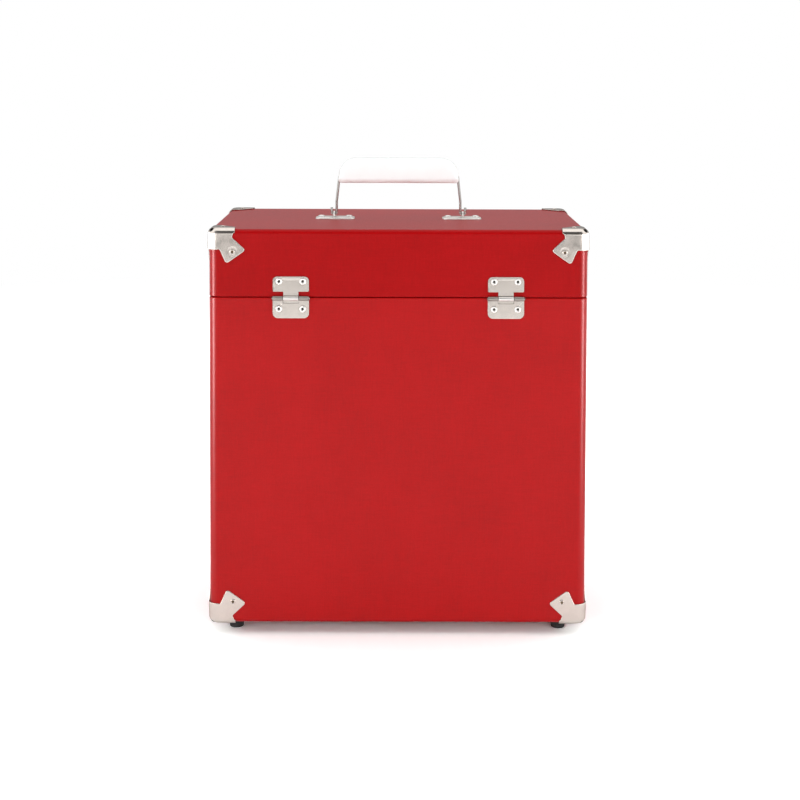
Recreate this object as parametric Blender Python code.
"""Hard case for carrying long-playing records: a lidded box with a top handle.

Frame: +Z up, z = 0 at the underside of the feet, origin at the middle of the
whole object's footprint, hinges and latches included.  The hinged rear faces
-Y, the latched front faces +Y, and left is -X.  Units are metres, except in
the outline tables marked as millimetres.
"""

import math

import bmesh
import bpy
from mathutils import Matrix, Vector

MM = 0.001                # scale of the tables given in millimetres

# ---------------------------------------------------------------- the case
CASE_W = 0.362            # outside width, X
CASE_D = 0.210            # outside depth, Y
CASE_H = 0.381            # outside height without the feet
LID_H = 0.065
FOOT_H = 0.011
SEAM_GAP = 0.0006         # between the two rims

EDGE_R = 0.0085           # rounding of the upright edges
RIM_R = 0.0049            # rounding of the level edges
SKIN = 0.0008             # leatherette
GAP = 0.0002              # glue line and assembly gap
WALL = 0.0060             # board
TURN_IN = 0.014           # leatherette turned in over each rim
LINING = 0.0006

# Shapes are laid out about the case's own middle.  The latches stand further
# out than the hinges, so this shift brings the whole object's middle to 0.
CENTRE_Y = -0.00425

CASE_BOTTOM = FOOT_H
CASE_TOP = FOOT_H + CASE_H
SEAM_Z = CASE_TOP - LID_H
HALF_W, HALF_D = CASE_W / 2, CASE_D / 2

# Depths from the outside face through the layers of a wall
BOARD_OUT = SKIN + GAP
BOARD_IN = BOARD_OUT + WALL
TURN_OUT = BOARD_IN + GAP             # outer face of the turned-in leatherette
LINER_OUT = TURN_OUT + SKIN + GAP
RIVET_REACH = LINER_OUT + LINING + GAP

# ---------------------------------------------------------------- joint places
HINGE_X = 0.1025          # hinge centres, and the latch centres
HINGE_PROUD = 0.0025      # pin axis behind the rear face
HINGE_DROP = 0.0006       # pin axis below the seam
HINGE_Y = -HALF_D - HINGE_PROUD
HINGE_Z = SEAM_Z - HINGE_DROP

HANDLE_AXIS_UP = 0.0046   # handle axis above the lid's top
HANDLE_Z = CASE_TOP + HANDLE_AXIS_UP

LATCH_PIVOT_OUT = 0.0052  # lever pivot in front of the latched face
LATCH_PIVOT_DOWN = 0.0146 # lever pivot below the seam
LATCH_THROW = 0.0036      # from the lever pivot out to the bail pivot
LEVER_Y = HALF_D + LATCH_PIVOT_OUT
LEVER_Z = SEAM_Z - LATCH_PIVOT_DOWN
BAIL_Y = LEVER_Y + LATCH_THROW

# ---------------------------------------------------------------- holes
RIVET_HOLE_R = 0.0020     # through boards, leatherette and lining
LEAF_HOLE_R = 0.0019      # through hinge leaves and handle pads
DRILL_START = 0.004       # drill's start outside the case's face
WALL_DRILL = 0.020        # drill length through a wall
LEAF_DRILL = 0.006        # drill length through a leaf or pad

HINGE_RIVET_UP = 0.01555  # above the seam, in the lid
HINGE_RIVET_DOWN = 0.01085
HINGE_RIVET_X = 0.0113    # to each side of the hinge's centre
PAD_X = 0.0644            # handle pad centres
PAD_RIVET_X = 0.0140      # to each side of the pad's centre
FOOT_X, FOOT_Y = 0.157, 0.082

SIDES = (("left", -1), ("right", 1))
ENDS = (("a", -1), ("b", 1))
CORNERS = (
    ("rear_left", -1, -1),
    ("rear_right", 1, -1),
    ("front_left", -1, 1),
    ("front_right", 1, 1),
)

# Slot: colour, roughness, metallic
MATERIALS = {
    "leatherette": ((0.47, 0.018, 0.020), 0.45, 0.0),
    "board": ((0.42, 0.29, 0.17), 0.85, 0.0),
    "lining": ((0.025, 0.024, 0.026), 0.95, 0.0),
    "nickel": ((0.72, 0.69, 0.66), 0.28, 1.0),
    "steel_wire": ((0.70, 0.70, 0.70), 0.18, 1.0),
    "grip_plastic": ((0.85, 0.84, 0.83), 0.18, 0.0),
    "rubber": ((0.02, 0.02, 0.02), 0.70, 0.0),
}
SHARP_ANGLE = 40.0        # degrees; steeper edges are shaded sharp

for old in list(bpy.data.objects):
    bpy.data.objects.remove(old, do_unlink=True)


def material(slot):
    found = bpy.data.materials.get(slot)
    if found is None:
        colour, roughness, metallic = MATERIALS[slot]
        found = bpy.data.materials.new(slot)
        found.use_nodes = True
        shader = found.node_tree.nodes["Principled BSDF"]
        shader.inputs["Base Color"].default_value = (*colour, 1.0)
        shader.inputs["Roughness"].default_value = roughness
        shader.inputs["Metallic"].default_value = metallic
    return found


# ---------------------------------------------------------------- outlines
def in_mm(points):
    return [(a * MM, b * MM) for a, b in points]


def quarter(steps):
    """Angles from 0 to a quarter turn."""
    return [math.radians(90 * k / steps) for k in range(steps + 1)]


def both_sides(centre, inner, outer):
    """The spans from inner to outer on the low and high side of a centre."""
    return ((centre - outer, centre - inner), (centre + inner, centre + outer))


def fillet(points, radii, steps=3, closed=True):
    """A polyline or polygon whose corners are rounded by the radii given."""
    out = []
    count = len(points)
    for i, corner in enumerate(points):
        corner, radius = Vector(corner), radii[i]
        if not radius or (not closed and i in (0, count - 1)):
            out.append(corner)
            continue
        back = (Vector(points[i - 1]) - corner).normalized()
        ahead = (Vector(points[(i + 1) % count]) - corner).normalized()
        half = math.acos(max(-1.0, min(1.0, back.dot(ahead)))) / 2
        reach = radius / math.tan(half)
        centre = corner + (back + ahead).normalized() * (radius / math.sin(half))
        start = corner + back * reach - centre
        end = corner + ahead * reach - centre
        total = start.angle(end)
        for k in range(steps + 1):
            t = k / steps
            arm = start * math.sin((1 - t) * total) + end * math.sin(t * total)
            out.append(centre + arm / math.sin(total))
    return out


def fillet_flat(points, radii, steps=3):
    """The same for a polygon of number pairs."""
    return [(p[0], p[1]) for p in fillet([(a, b, 0) for a, b in points], radii, steps)]


def case_ring(inset, z, min_radius=0.0006, steps=4):
    """The case's level outline moved in by inset, at height z."""
    radius = max(EDGE_R - inset, min_radius)
    ring = []
    for k, (sx, sy) in enumerate(((1, 1), (-1, 1), (-1, -1), (1, -1))):
        x = sx * (HALF_W - inset - radius)
        y = sy * (HALF_D - inset - radius)
        for i in range(steps + 1):
            a = math.radians(90 * k + 90 * i / steps)
            ring.append(Vector((x + radius * math.cos(a), y + radius * math.sin(a), z)))
    return ring


def level_edge(inset, z_face, into):
    """Rings round the level edge of a skin lying inset under the outside.

    They start on the flat face; into is +1 where the case lies above that face.
    """
    radius = RIM_R - inset
    return [
        case_ring(
            inset + radius * (1 - math.sin(a)),
            z_face + into * (inset + radius * (1 - math.cos(a))),
        )
        for a in quarter(3)
    ]


# ---------------------------------------------------------------- meshes
def tidy(mesh):
    """Turn all faces outward."""
    bm = bmesh.new()
    bm.from_mesh(mesh)
    bmesh.ops.recalc_face_normals(bm, faces=bm.faces)
    if bm.calc_volume(signed=True) < 0:
        bmesh.ops.reverse_faces(bm, faces=bm.faces)
    bm.to_mesh(mesh)
    bm.free()
    return mesh


def mesh_of(points, faces):
    mesh = bpy.data.meshes.new("shape")
    mesh.from_pydata([tuple(p) for p in points], [], faces)
    return tidy(mesh)


def stack(rings):
    """A closed skin through rings of equal point counts, capped at both ends."""
    n = len(rings[0])
    points = [p for ring in rings for p in ring]
    faces = [tuple(range(n))[::-1]]
    for k in range(len(rings) - 1):
        a, b = k * n, (k + 1) * n
        for i in range(n):
            j = (i + 1) % n
            faces.append((a + i, a + j, b + j, b + i))
    last = (len(rings) - 1) * n
    faces.append(tuple(range(last, last + n)))
    return mesh_of(points, faces)


def prism(outline, plane, low, high):
    """An outline in 'XY', 'XZ' or 'YZ', run along the third axis."""
    third = {"XY": 2, "XZ": 1, "YZ": 0}[plane]
    return stack([[(*p[:third], t, *p[third:]) for p in outline] for t in (low, high)])


def rounded_plate(centre, half_width, low, high, low_r, high_r, plane, near, far):
    """A rectangle about x = centre with one radius at its low, one at its high corners."""
    left, right = centre - half_width, centre + half_width
    corners = [(left, low), (right, low), (right, high), (left, high)]
    return prism(fillet_flat(corners, [low_r, low_r, high_r, high_r]), plane, near, far)


def lathe(profile, segments=8, loop=False):
    """A solid of revolution about Z.

    The (radius, z) profile runs axis to axis, or with loop closes on itself.
    """
    points, faces, rows = [], [], []
    for radius, z in profile:
        if radius == 0:
            rows.append([len(points)] * segments)
            points.append((0.0, 0.0, z))
            continue
        row = []
        for i in range(segments):
            a = 2 * math.pi * i / segments
            row.append(len(points))
            points.append((radius * math.cos(a), radius * math.sin(a), z))
        rows.append(row)
    if loop:
        rows.append(rows[0])
    for a, b in zip(rows, rows[1:]):
        for i in range(segments):
            j = (i + 1) % segments
            face = tuple(dict.fromkeys((a[i], a[j], b[j], b[i])))
            if len(face) > 2:
                faces.append(face)
    return mesh_of(points, faces)


def sweep(path, radius, segments=8):
    """A round wire along a path that stays in one plane."""
    path = [Vector(p) for p in path]
    normal = Vector((0, 0, 0))
    for a, b, c in zip(path, path[1:], path[2:]):
        normal += (b - a).cross(c - b)
        if normal.length > 1e-9:
            break
    normal.normalize()
    rings = []
    for i, p in enumerate(path):
        before = (p - path[i - 1]).normalized() if i else None
        after = (path[i + 1] - p).normalized() if i + 1 < len(path) else None
        along = ((before or after) + (after or before)).normalized()
        side = along.cross(normal).normalized()
        stretch = 1.0  # widens a mitred ring so the wire keeps its thickness
        if before is not None and after is not None:
            stretch = 1.0 / max(0.5, math.cos(before.angle(after) / 2))
        rings.append([
            p
            + side * (radius * stretch * math.cos(2 * math.pi * k / segments))
            + normal * (radius * math.sin(2 * math.pi * k / segments))
            for k in range(segments)
        ])
    return stack(rings)


def moved(mesh, matrix):
    mesh.transform(matrix)
    return tidy(mesh)


def mirrored(mesh, axis):
    return moved(mesh, Matrix.Scale(-1, 4, axis))


def place(x, y, z, axis="Z"):
    """A turn that stands +Z along the axis given, then a move."""
    turn = {
        "Z": Matrix.Identity(4),
        "-Z": Matrix.Rotation(math.pi, 4, "X"),
        "X": Matrix.Rotation(math.pi / 2, 4, "Y"),
        "-X": Matrix.Rotation(-math.pi / 2, 4, "Y"),
        "-Y": Matrix.Rotation(math.pi / 2, 4, "X"),
        "Y": Matrix.Rotation(-math.pi / 2, 4, "X"),
    }[axis]
    return Matrix.Translation((x, y, z)) @ turn


def rod(x, y, z, axis, radius, length, segments=8):
    """A cylinder that starts at x, y, z and runs along the axis."""
    profile = [(0, 0), (radius, 0), (radius, length), (0, length)]
    return moved(lathe(profile, segments), place(x, y, z, axis))


def combined(base, others, operation):
    """The mesh of base after one boolean with each of the others."""
    scene = bpy.context.scene.collection.objects
    work = bpy.data.objects.new("work", base)
    scene.link(work)
    helpers = []
    for other in others:
        helper = bpy.data.objects.new("tool", other)
        helper.hide_render = True
        helper.display_type = "WIRE"
        scene.link(helper)
        step = work.modifiers.new("step", "BOOLEAN")
        step.operation = operation
        step.solver = "EXACT"
        step.object = helper
        helpers.append(helper)
    bpy.context.view_layer.update()
    graph = bpy.context.evaluated_depsgraph_get()
    result = bpy.data.meshes.new_from_object(work.evaluated_get(graph))
    for used in (*helpers, work):
        bpy.data.objects.remove(used, do_unlink=True)
    return result


def joined(base, *others):
    return combined(base, others, "UNION")


def cut(base, *others):
    return combined(base, others, "DIFFERENCE")


# ---------------------------------------------------------------- scene objects
def joint_empty(name, at, parent=None):
    """An empty on a joint's axis that carries the moving pieces."""
    empty = bpy.data.objects.new(name, None)
    at = Vector(at) + Vector((0, CENTRE_Y, 0))
    empty.location = at
    bpy.context.scene.collection.objects.link(empty)
    if parent is not None:
        empty.parent = parent
        empty.location = at - parent.matrix_world.translation
    bpy.context.view_layer.update()
    return empty


def node(name, mesh, slot, parent=None):
    """One named object; its origin is its joint's place, or the world's origin."""
    mesh.name = name
    origin = Vector((0, 0, 0))
    if parent is not None:
        origin = parent.matrix_world.translation.copy()
    mesh.transform(Matrix.Translation(Vector((0, CENTRE_Y, 0)) - origin))
    mesh.materials.clear()
    mesh.materials.append(material(slot))
    mesh.shade_smooth()
    mesh.set_sharp_from_angle(angle=math.radians(SHARP_ANGLE))
    made = bpy.data.objects.new(name, mesh)
    bpy.context.scene.collection.objects.link(made)
    made.parent = parent


lid_turn = joint_empty("lid_turn", (0, HINGE_Y, HINGE_Z))
handle_turn = joint_empty("handle_turn", (0, 0, HANDLE_Z), lid_turn)


# ---------------------------------------------------------------- body and lid shells
CORNER_EASE = 0.00013     # end boards' outer corners follow the upright rounding
LINER_SHORT = 0.003       # lining stops this far from the rim
LINER_OUT_R, LINER_IN_R = 0.0012, 0.0008  # least radii of the lining's corners
FOOT_DRILL_START = 0.001  # below the case
FOOT_DRILL = 0.0070


def side_board(sx, z0, z1):
    """Full-depth board at an X side, its outer upright edges rounded."""
    x_out, x_in = HALF_W - BOARD_OUT, HALF_W - BOARD_IN
    y_out, radius = HALF_D - BOARD_OUT, EDGE_R - BOARD_OUT
    turn = math.acos((radius - WALL) / radius)  # the rounding is deeper than the board
    arc = [
        (
            x_out - radius + radius * math.cos(turn * k / 4),
            y_out - radius + radius * math.sin(turn * k / 4),
        )
        for k in range(5)
    ]
    arc[-1] = (x_in, arc[-1][1])
    mesh = prism([(x, -y) for x, y in reversed(arc)] + arc, "XY", z0, z1)
    return mesh if sx > 0 else mirrored(mesh, (1, 0, 0))


def end_board(sy, z0, z1):
    """Board across the front or rear, between the side boards."""
    half = HALF_W - TURN_OUT
    y_out = HALF_D - BOARD_OUT
    outline = [
        (-half, y_out - WALL),
        (half, y_out - WALL),
        (half, y_out - CORNER_EASE),
        (half - 10 * CORNER_EASE, y_out),
        (-half + 10 * CORNER_EASE, y_out),
        (-half, y_out - CORNER_EASE),
    ]
    mesh = prism(outline, "XY", z0, z1)
    return mesh if sy > 0 else mirrored(mesh, (0, 1, 0))


def flat_board(z_face, into):
    """The bottom or the top board, its outer level edge rounded."""
    inner = case_ring(BOARD_OUT, z_face + into * BOARD_IN)
    return stack(level_edge(BOARD_OUT, z_face, into) + [inner])


def cover(z_face, z_rim, into):
    """Leatherette over the outside, turned over the rim and down the inside."""
    turn_in = TURN_OUT + SKIN
    lip = [  # inset, depth from the rim
        (0, 0),
        (turn_in, 0),
        (turn_in, TURN_IN),
        (TURN_OUT, TURN_IN),
        (TURN_OUT, SKIN),
        (SKIN, SKIN),
    ]
    return stack(
        level_edge(0, z_face, into)
        + [case_ring(inset, z_rim - into * depth) for inset, depth in lip]
        + level_edge(SKIN, z_face, into)[::-1]
    )


def liner(z_face, z_rim, into):
    """Open-topped lining box."""
    inner = LINER_OUT + LINING
    z_out = z_face + into * TURN_OUT
    z_edge = z_rim - into * LINER_SHORT
    return stack([
        case_ring(LINER_OUT, z_out, LINER_OUT_R),
        case_ring(LINER_OUT, z_edge, LINER_OUT_R),
        case_ring(inner, z_edge, LINER_IN_R),
        case_ring(inner, z_out + into * LINING, LINER_IN_R),
    ])


def build_shell(part, flat, z_face, z_rim, into, flat_holes, lining_holes, rivet_z, parent):
    """Boards, leatherette and lining of the body or the lid."""
    rear_holes = [
        rod(sx * HINGE_X + ex * HINGE_RIVET_X, -HALF_D - DRILL_START, rivet_z, "Y",
            RIVET_HOLE_R, WALL_DRILL)
        for _, sx in SIDES
        for _, ex in ENDS
    ]
    low, high = sorted((z_face + into * TURN_OUT, z_rim - into * BOARD_OUT))
    panels = {
        flat: cut(flat_board(z_face, into), *flat_holes),
        "left": side_board(-1, low, high),
        "right": side_board(1, low, high),
        "rear": cut(end_board(-1, low, high), *rear_holes),
        "front": end_board(1, low, high),
    }
    for name, mesh in panels.items():
        node(f"{part}_{name}_panel", mesh, "board", parent)
    skin = cut(cover(z_face, z_rim, into), *flat_holes, *rear_holes)
    node(f"{part}_cover", skin, "leatherette", parent)
    lining = cut(liner(z_face, z_rim, into), *lining_holes, *rear_holes)
    node(f"{part}_lining", lining, "lining", parent)


foot_holes = [
    rod(sx * FOOT_X, sy * FOOT_Y, CASE_BOTTOM - FOOT_DRILL_START, "Z", RIVET_HOLE_R, FOOT_DRILL)
    for _, sx, sy in CORNERS
]
top_holes = [
    rod(sx * PAD_X + ex * PAD_RIVET_X, 0, CASE_TOP + DRILL_START, "-Z", RIVET_HOLE_R, WALL_DRILL)
    for _, sx in SIDES
    for _, ex in ENDS
]
build_shell("body", "bottom", CASE_BOTTOM, SEAM_Z - SEAM_GAP / 2, 1,
            foot_holes, [], SEAM_Z - HINGE_RIVET_DOWN, None)
build_shell("lid", "top", CASE_TOP, SEAM_Z + SEAM_GAP / 2, -1,
            top_holes, top_holes, SEAM_Z + HINGE_RIVET_UP, lid_turn)


# ---------------------------------------------------------------- corner brackets
# Corner axes: u in from the X end, v in from the Y end, w in from the level face.
BRACKET_IN = 0.00035      # bracket's inner face over the leatherette
BRACKET_OUT = 0.0014
BRACKET_BLOCK, HOLLOW_BLOCK = 0.052, 0.070  # reach of the block and of its hollow
FIELD_LOW = -3 * MM       # the outlines' prisms start outside the corner
EAR_DEEP, CAP_DEEP = 6.2 * MM, 3.4 * MM

# Outline on the two upright faces: (u or v, w) in mm, and corner radii
EAR = [
    (-3, -3), (25.0, -3), (24.9, 1.0), (22.3, 7.6), (35.6, 19.9), (16.8, 33.2),
    (10.6, 18.8), (8.6, 19.5), (-3, 19.5),
]
EAR_ROUND = [0, 0, 0, 1.5, 1.8, 1.8, 1.5, 0, 0]
# Outline on the level face: (u, v) in mm, and corner radii
CAP = [(-3, -3), (25.0, -3), (25.0, 9.5), (9.5, 25.0), (-3, 25.0)]
CAP_ROUND = [0, 0, 3.0, 3.0, 0]
EAR_RIVET = (22.8 * MM, 21.3 * MM)
CAP_RIVET = 12.6 * MM     # both u and v
BRACKET_HEAD = [(0, 0), (2.9, 0), (2.9, 0.55), (2.1, 0.95), (0, 0.95)]  # radius, z in mm
HEAD_SEAT = -BRACKET_OUT + 0.4 * MM  # the heads start within the plate


def corner_block(offset, size, steps=4):
    """A block whose near corner is the case's corner grown by offset."""
    radius = RIM_R + offset
    levels = [
        (radius * (1 - math.sin(a)) - offset, radius * (1 - math.cos(a)) - offset)
        for a in quarter(steps)
    ]
    levels.append((-offset, size))
    rings = []
    for inset, z in levels:
        r = EDGE_R - inset
        ring = [(EDGE_R - r * math.cos(a), EDGE_R - r * math.sin(a), z) for a in quarter(steps)]
        rings.append(ring + [(size, inset, z), (size, size, z), (inset, size, z)])
    return stack(rings)


def bracket():
    """A three-faced shell cut to its outlines, with a rivet head on each face."""
    shell = cut(corner_block(BRACKET_OUT, BRACKET_BLOCK), corner_block(BRACKET_IN, HOLLOW_BLOCK))
    ear = fillet_flat(in_mm(EAR), [r * MM for r in EAR_ROUND], 2)
    cap = fillet_flat(in_mm(CAP), [r * MM for r in CAP_ROUND], 2)
    # The factors keep the prisms' end faces out of one plane.
    field = joined(
        prism(ear, "XZ", FIELD_LOW, EAR_DEEP),
        prism(ear, "YZ", FIELD_LOW * 1.02, EAR_DEEP * 1.02),
        prism(cap, "XY", FIELD_LOW * 1.05, CAP_DEEP),
    )
    plate = combined(shell, [field], "INTERSECT")
    along, up = EAR_RIVET
    heads = [
        moved(lathe(in_mm(BRACKET_HEAD)), place(*spot))
        for spot in (
            (along, HEAD_SEAT, up, "-Y"),
            (HEAD_SEAT, along, up, "-X"),
            (CAP_RIVET, CAP_RIVET, HEAD_SEAT, "-Z"),
        )
    ]
    return joined(plate, *heads)


corner_bracket = bracket()
for level, into, z_face, parent in (
    ("bottom", 1, CASE_BOTTOM, None),
    ("top", -1, CASE_TOP, lid_turn),
):
    for name, sx, sy in CORNERS:
        turn = Matrix.Translation((sx * HALF_W, sy * HALF_D, z_face)) @ Matrix.Diagonal(
            (-sx, -sy, into, 1)
        )
        node(f"corner_{level}_{name}", moved(corner_bracket.copy(), turn), "nickel", parent)

# ---------------------------------------------------------------- feet
FOOT_R = 8.0 * MM
FOOT_HOLE_R = 2.1 * MM
FOOT_RECESS = (4.3 * MM, 5.4 * MM)  # radius and depth of the screw head's recess

# Radius, z
FOOT_PROFILE = [
    (FOOT_HOLE_R, FOOT_RECESS[1]),
    FOOT_RECESS,
    (FOOT_RECESS[0], 0.0),
    (5.9 * MM, 0.0),
    (6.8 * MM, 0.9 * MM),
    (FOOT_R, FOOT_H - 2.0 * MM),
    (FOOT_R, FOOT_H - GAP),
    (FOOT_HOLE_R, FOOT_H - GAP),
]
# Radius, z in mm, from the head up to the tip
SCREW_PROFILE = [
    (0, 3.3), (2.6, 3.3), (3.6, 4.1), (3.6, 5.2), (1.6, 5.2), (1.6, 15.6), (0, 16.6),
]

for name, sx, sy in CORNERS:
    spot = place(sx * FOOT_X, sy * FOOT_Y, 0)
    node(f"foot_{name}", moved(lathe(FOOT_PROFILE, 14, loop=True), spot), "rubber")
    node(f"foot_screw_{name}", moved(lathe(in_mm(SCREW_PROFILE)), spot), "nickel")


# ---------------------------------------------------------------- tubular rivets
RIVET_HEAD_R = 0.0032
RIVET_CROWN_R = 0.0025    # flat top of the head
RIVET_HEAD_T = 0.0008
RIVET_EDGE_T = 0.0002     # upright rim of the head
RIVET_SHANK_R = 0.0017
RIVET_BORE_R, RIVET_BORE_Z = 0.0010, -0.0020
RIVET_TAIL_R, RIVET_TAIL_END_R = 0.0028, 0.0022


def rivet(x, y, z, axis, seat):
    """z = 0 of the profile is the leatherette's face; the head sits at seat outside it."""
    top = seat + RIVET_HEAD_T
    profile = [
        (0, RIVET_BORE_Z),
        (RIVET_BORE_R, RIVET_BORE_Z),
        (RIVET_BORE_R, top),
        (RIVET_CROWN_R, top),
        (RIVET_HEAD_R, seat + RIVET_EDGE_T),
        (RIVET_HEAD_R, seat),
        (RIVET_SHANK_R, seat),
        (RIVET_SHANK_R, -RIVET_REACH),
        (RIVET_TAIL_R, -RIVET_REACH),
        (RIVET_TAIL_R, -RIVET_REACH - 0.0005),
        (RIVET_TAIL_END_R, -RIVET_REACH - 0.0008),
        (0, -RIVET_REACH - 0.0008),
    ]
    return moved(lathe(profile), place(x, y, z, axis))


# ---------------------------------------------------------------- hinges
PLATE_T = 0.0010          # hinge leaves and latch plates
KNUCKLE_R = 0.0022
BORE_R = 0.0013
BORE_HALF = 0.025         # half length of the boring tool
PIN_R = 0.0011
HINGE_RIVET_SEAT = 0.0014

UPPER_LEAF_HALF = 0.0172
UPPER_LEAF_LOW, UPPER_LEAF_HIGH = 0.0056, 0.0200  # above the seam
UPPER_KNUCKLE_HALF = 0.0073
LOWER_KNUCKLES = (0.0079, 0.0172)     # inner and outer ends from the centre
UPPER_STRIP_Z, LOWER_STRIP_Z = SEAM_Z + 0.0070, SEAM_Z - 0.0045
STRIP_NEAR, STRIP_FAR = 0.00035, 0.00112  # strip's faces out from the rear face
STRIP_SHORT = 0.00003     # strip is this much shorter than its barrel at each end

# Lower leaf with a notch in its top edge: x from the centre, z from the seam, radius
LOWER_LEAF = [
    (-0.0173, -0.0199, 0.0050), (0.0173, -0.0199, 0.0050),
    (0.0173, -0.0022, 0), (0.0078, -0.0022, 0),
    (0.0078, -0.0057, 0.0008), (-0.0078, -0.0057, 0.0008),
    (-0.0078, -0.0022, 0), (-0.0173, -0.0022, 0),
]
# One headed end of the pin, up to its middle: radius, z
PIN_END = [
    (0, -0.0182), (0.0012, -0.0182), (0.0017, -0.0178), (0.0017, -0.0174), (PIN_R, -0.0174),
]
LEAF_FACES = (-HALF_D - (GAP + PLATE_T), -HALF_D - GAP)


def knuckle(x0, x1, z_from):
    """Curled end of a leaf round the pin: a barrel and the strip that feeds it."""
    barrel = rod(x0, HINGE_Y, HINGE_Z, "X", KNUCKLE_R, x1 - x0, 12)
    left, right = x0 + STRIP_SHORT, x1 - STRIP_SHORT
    far, near = -HALF_D - STRIP_FAR, -HALF_D - STRIP_NEAR
    corners = [(left, far), (right, far), (right, near), (left, near)]
    return barrel, prism(corners, "XY", *sorted((HINGE_Z, z_from)))


def finished_leaf(plate, centre, rivet_z):
    """A leaf bored for the pin and drilled for its two rivets."""
    bore = rod(centre - BORE_HALF, HINGE_Y, HINGE_Z, "X", BORE_R, 2 * BORE_HALF, 12)
    holes = [
        rod(centre + ex * HINGE_RIVET_X, -HALF_D - DRILL_START, rivet_z, "Y",
            LEAF_HOLE_R, LEAF_DRILL)
        for _, ex in ENDS
    ]
    return cut(plate, bore, *holes)


def upper_leaf(centre):
    plate = rounded_plate(
        centre, UPPER_LEAF_HALF, SEAM_Z + UPPER_LEAF_LOW, SEAM_Z + UPPER_LEAF_HIGH,
        0.0010, 0.0040, "XZ", *LEAF_FACES,
    )
    half = UPPER_KNUCKLE_HALF
    return joined(plate, *knuckle(centre - half, centre + half, UPPER_STRIP_Z))


def lower_leaf(centre):
    outline = fillet_flat(
        [(centre + x, SEAM_Z + z) for x, z, _ in LOWER_LEAF], [r for _, _, r in LOWER_LEAF]
    )
    knuckles = []
    for x0, x1 in both_sides(centre, *LOWER_KNUCKLES):
        knuckles += knuckle(x0, x1, LOWER_STRIP_Z)
    return joined(prism(outline, "XZ", *LEAF_FACES), *knuckles)


def hinge_pin(centre):
    profile = PIN_END + [(r, -z) for r, z in reversed(PIN_END)]
    return moved(lathe(profile, 12), place(centre, HINGE_Y, HINGE_Z, "X"))


for side, sx in SIDES:
    centre = sx * HINGE_X
    for level, leaf, rivet_z, parent in (
        ("upper", upper_leaf, SEAM_Z + HINGE_RIVET_UP, lid_turn),
        ("lower", lower_leaf, SEAM_Z - HINGE_RIVET_DOWN, None),
    ):
        mesh = finished_leaf(leaf(centre), centre, rivet_z)
        node(f"hinge_{side}_{level}_leaf", mesh, "nickel", parent)
        for end, ex in ENDS:
            x = centre + ex * HINGE_RIVET_X
            mesh = rivet(x, -HALF_D, rivet_z, "-Y", HINGE_RIVET_SEAT)
            node(f"hinge_{side}_{level}_rivet_{end}", mesh, "nickel", parent)
    node(f"hinge_{side}_pin", hinge_pin(centre), "steel_wire")

# ---------------------------------------------------------------- handle
LEG_X = 0.0630            # wire legs
TIP_X = 0.0680            # wire ends, turned up outside the legs
WIRE_R = 0.0013
CHANNEL_CLEAR = 0.0003    # round the wire within the grip
WIRE_END_Z = CASE_TOP + 0.0108
LEG_BEND_Z = CASE_TOP + 0.0180
LEG_LEAN = 0.0045         # legs lean in by this from the bend to the grip

PAD_HALF_W, PAD_HALF_D = 0.0198, 0.0100
PAD_R = 0.0050
PAD_TOP = 0.0018          # its top above the lid
STAPLE_LEG = 0.0038       # from the pivot down into the pad
STAPLE_OUT_R, STAPLE_IN_R = 0.0030, 0.0020
STAPLE_HALF_W = 0.0009

GRIP_LOW, GRIP_HIGH = 0.0365, 0.0620  # above the lid's top
GRIP_HALF_LOW, GRIP_HALF_HIGH = 0.0605, 0.0583
GRIP_LOW_R, GRIP_HIGH_R = 0.0035, 0.0125
GRIP_T = 0.0130
GRIP_WIRE_Z = CASE_TOP + GRIP_LOW + 0.0085
# Stations through the grip: y as a part of half its thickness, shrink of its outline
GRIP_STATIONS = [
    (-1.0, 0.0030), (-0.86, 0.0013), (-0.55, 0.0), (0.55, 0.0), (0.86, 0.0013), (1.0, 0.0030),
]


def staple(centre):
    """Arch over the handle's pivot, its legs let into the pad."""
    turns = [math.radians(a) for a in range(0, 181, 30)]
    arch = [(-STAPLE_OUT_R, -STAPLE_LEG)]
    arch += [(-STAPLE_OUT_R * math.cos(a), STAPLE_OUT_R * math.sin(a)) for a in turns]
    arch += [(STAPLE_OUT_R, -STAPLE_LEG), (STAPLE_IN_R, -STAPLE_LEG)]
    arch += [(STAPLE_IN_R * math.cos(a), STAPLE_IN_R * math.sin(a)) for a in turns]
    arch += [(-STAPLE_IN_R, -STAPLE_LEG)]
    outline = [(y, z + HANDLE_Z) for y, z in arch]
    return prism(outline, "YZ", centre - STAPLE_HALF_W, centre + STAPLE_HALF_W)


def handle_pad(sx):
    centre = sx * PAD_X
    plate = rounded_plate(
        centre, PAD_HALF_W, -PAD_HALF_D, PAD_HALF_D, PAD_R, PAD_R,
        "XY", CASE_TOP + GAP, CASE_TOP + PAD_TOP,
    )
    holes = [
        rod(centre + ex * PAD_RIVET_X, 0, CASE_TOP + DRILL_START, "-Z", LEAF_HOLE_R, LEAF_DRILL)
        for _, ex in ENDS
    ]
    return cut(joined(plate, staple(sx * (LEG_X + TIP_X) / 2)), *holes)


def handle_path(half, steps):
    """Both halves of a path in the XZ plane; half holds x, z, bend radius on the left."""
    points = [(x, 0, z) for x, z, _ in half] + [(-x, 0, z) for x, z, _ in reversed(half)]
    radii = [r for _, _, r in half]
    return fillet(points, radii + radii[::-1], steps, closed=False)


def handle_wire():
    half = [
        (-TIP_X, WIRE_END_Z, 0),
        (-TIP_X, HANDLE_Z, 0.0024),
        (-LEG_X, HANDLE_Z, 0.0024),
        (-LEG_X, LEG_BEND_Z, 0.020),
        (-LEG_X + LEG_LEAN, GRIP_WIRE_Z, 0.0040),
    ]
    return sweep(handle_path(half, 3), WIRE_R)


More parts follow.
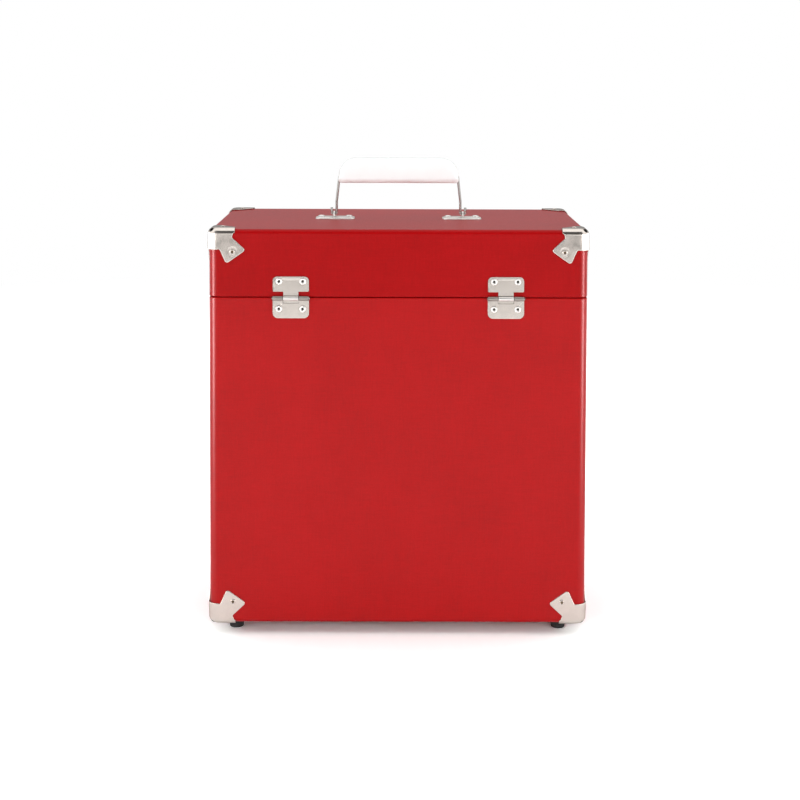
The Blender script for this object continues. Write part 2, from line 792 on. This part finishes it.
def grip_outline(shrink):
    low, high = CASE_TOP + GRIP_LOW + shrink, CASE_TOP + GRIP_HIGH - shrink
    half_low, half_high = GRIP_HALF_LOW - shrink, GRIP_HALF_HIGH - shrink
    low_r, high_r = GRIP_LOW_R - shrink * 0.5, GRIP_HIGH_R - shrink
    return fillet(
        [(-half_low, 0, low), (half_low, 0, low), (half_high, 0, high), (-half_high, 0, high)],
        [low_r, low_r, high_r, high_r],
        4,
    )


def handle_grip():
    """Grip with a channel for the wire."""
    rings = [
        [Vector((p[0], part * GRIP_T / 2, p[2])) for p in grip_outline(shrink)]
        for part, shrink in GRIP_STATIONS
    ]
    half = [(-LEG_X, LEG_BEND_Z, 0), (-LEG_X + LEG_LEAN, GRIP_WIRE_Z, 0.0040)]
    return cut(stack(rings), sweep(handle_path(half, 4), WIRE_R + CHANNEL_CLEAR))


for side, sx in SIDES:
    node(f"handle_pad_{side}", handle_pad(sx), "nickel", lid_turn)
    for end, ex in ENDS:
        mesh = rivet(sx * PAD_X + ex * PAD_RIVET_X, 0, CASE_TOP, "Z", PAD_TOP + GAP)
        node(f"handle_pad_{side}_rivet_{end}", mesh, "nickel", lid_turn)
node("handle_wire", handle_wire(), "steel_wire", handle_turn)
node("handle_grip", handle_grip(), "grip_plastic", handle_turn)

# ---------------------------------------------------------------- latches
LATCH_FACES = (HALF_D + GAP, HALF_D + GAP + PLATE_T)
LATCH_HEAD = [(0, 0), (2.5, 0), (2.5, 0.45), (1.8, 0.85), (0, 0.85)]  # radius, z in mm
LATCH_HEAD_OUT = 0.9 * MM  # the heads start within the plate

BASE_HALF = 0.0110
BASE_DOWN, BASE_UP = 0.0220, 0.0022   # from the lever pivot
BASE_RIVETS_DOWN = (0.0105, 0.0180)
BASE_EARS = (0.0062, 0.0074)          # inner and outer faces from the centre
BASE_HOLE_R, BASE_HOLE_HALF = 0.00135, 0.015

LEVER_HALF = 0.0088
LEVER_FLANGES = (0.0077, 0.0086)
LEVER_STUBS = (0.0063, 0.0079)
LEVER_STUB_R = 0.0011
LEVER_HOLES = (0.0067, 0.0097)        # for the bail
LEVER_HOLE_R = 0.0013

BAIL_L = 0.0240
BAIL_TILT = 10.0          # degrees, towards the case at rest
BAIL_R = 0.00105
BAIL_TIP_X, BAIL_HALF = 0.0080, 0.0102

KEEPER_HALF = 0.0085
KEEPER_LOW, KEEPER_HIGH = 0.0041, 0.0190  # above the seam
KEEPER_TAB_HALF = 0.0060
KEEPER_RIVET_X, KEEPER_RIVET_UP = 0.0048, 0.0155

# Side outlines in mm: distance out from the front face, height
# The first three are about the lever pivot's height, the last about the seam's.
BASE_EAR = [(0.8, 2.0), (6.2, 2.0), (7.3, 1.0), (7.3, -1.4), (3.0, -6.0), (0.8, -6.0)]
LEVER_PLATE = [
    (10.3, 1.5), (10.3, -17.0), (12.4, -21.0), (13.2, -20.5), (11.3, -16.7), (11.3, 1.5),
]
LEVER_FLANGE = [
    (3.4, -1.4), (3.4, 1.4), (4.6, 2.2), (9.6, 2.2),
    (10.6, 1.2), (10.6, -14.0), (8.8, -14.0), (6.2, -3.0),
]
KEEPER_TAB = [(0.5, 4.40), (8.5, 8.55), (8.0, 9.4), (0.9, 5.45)]


def front_prism(table, z_ref, x0, x1):
    outline = [(HALF_D + out, z_ref + up) for out, up in in_mm(table)]
    return prism(outline, "YZ", x0, x1)


def face_rivet(x, z):
    return moved(lathe(in_mm(LATCH_HEAD)), place(x, HALF_D + LATCH_HEAD_OUT, z, "Y"))


def latch_base(centre):
    """Plate with two ears that hold the lever's stubs."""
    plate = rounded_plate(
        centre, BASE_HALF, LEVER_Z - BASE_DOWN, LEVER_Z + BASE_UP, 0.0030, 0.0010,
        "XZ", *LATCH_FACES,
    )
    ears = [front_prism(BASE_EAR, LEVER_Z, *span) for span in both_sides(centre, *BASE_EARS)]
    rivets = [face_rivet(centre, LEVER_Z - down) for down in BASE_RIVETS_DOWN]
    hole = rod(
        centre - BASE_HOLE_HALF, LEVER_Y, LEVER_Z, "X", BASE_HOLE_R, 2 * BASE_HOLE_HALF, 10
    )
    return cut(joined(plate, *ears, *rivets), hole)


def latch_lever(centre):
    """Outer plate, a flange and a pivot stub at each side, and holes for the bail."""
    plate = front_prism(LEVER_PLATE, LEVER_Z, centre - LEVER_HALF, centre + LEVER_HALF)
    flanges = [
        front_prism(LEVER_FLANGE, LEVER_Z, *span) for span in both_sides(centre, *LEVER_FLANGES)
    ]
    stubs = [
        rod(x0, LEVER_Y, LEVER_Z, "X", LEVER_STUB_R, x1 - x0, 10)
        for x0, x1 in both_sides(centre, *LEVER_STUBS)
    ]
    holes = [
        rod(x0, BAIL_Y, LEVER_Z, "X", LEVER_HOLE_R, x1 - x0, 10)
        for x0, x1 in both_sides(centre, *LEVER_HOLES)
    ]
    return cut(joined(plate, *flanges, *stubs), *holes)


def latch_bail(centre):
    """Wire loop from the lever up to the keeper."""
    tilt = math.radians(BAIL_TILT)
    top_y = BAIL_Y - BAIL_L * math.sin(tilt)
    top_z = LEVER_Z + BAIL_L * math.cos(tilt)
    points = [
        (centre - BAIL_TIP_X, BAIL_Y, LEVER_Z),
        (centre - BAIL_HALF, BAIL_Y, LEVER_Z),
        (centre - BAIL_HALF, top_y, top_z),
        (centre + BAIL_HALF, top_y, top_z),
        (centre + BAIL_HALF, BAIL_Y, LEVER_Z),
        (centre + BAIL_TIP_X, BAIL_Y, LEVER_Z),
    ]
    return sweep(fillet(points, [0, 0.0012, 0.0030, 0.0030, 0.0012, 0], closed=False), BAIL_R)


def latch_keeper(centre):
    """Plate on the lid with a sloping tab."""
    plate = rounded_plate(
        centre, KEEPER_HALF, SEAM_Z + KEEPER_LOW, SEAM_Z + KEEPER_HIGH, 0.0010, 0.0030,
        "XZ", *LATCH_FACES,
    )
    tab = front_prism(KEEPER_TAB, SEAM_Z, centre - KEEPER_TAB_HALF, centre + KEEPER_TAB_HALF)
    rivets = [
        face_rivet(centre + ex * KEEPER_RIVET_X, SEAM_Z + KEEPER_RIVET_UP) for _, ex in ENDS
    ]
    return joined(plate, tab, *rivets)


for side, sx in SIDES:
    centre, latch = sx * HINGE_X, f"latch_{side}"
    lever_turn = joint_empty(f"{latch}_turn", (centre, LEVER_Y, LEVER_Z))
    bail_turn = joint_empty(f"{latch}_bail_turn", (centre, BAIL_Y, LEVER_Z), lever_turn)
    node(f"{latch}_base", latch_base(centre), "nickel")
    node(f"{latch}_lever", latch_lever(centre), "nickel", lever_turn)
    node(f"{latch}_bail", latch_bail(centre), "steel_wire", bail_turn)
    node(f"{latch}_keeper", latch_keeper(centre), "nickel", lid_turn)
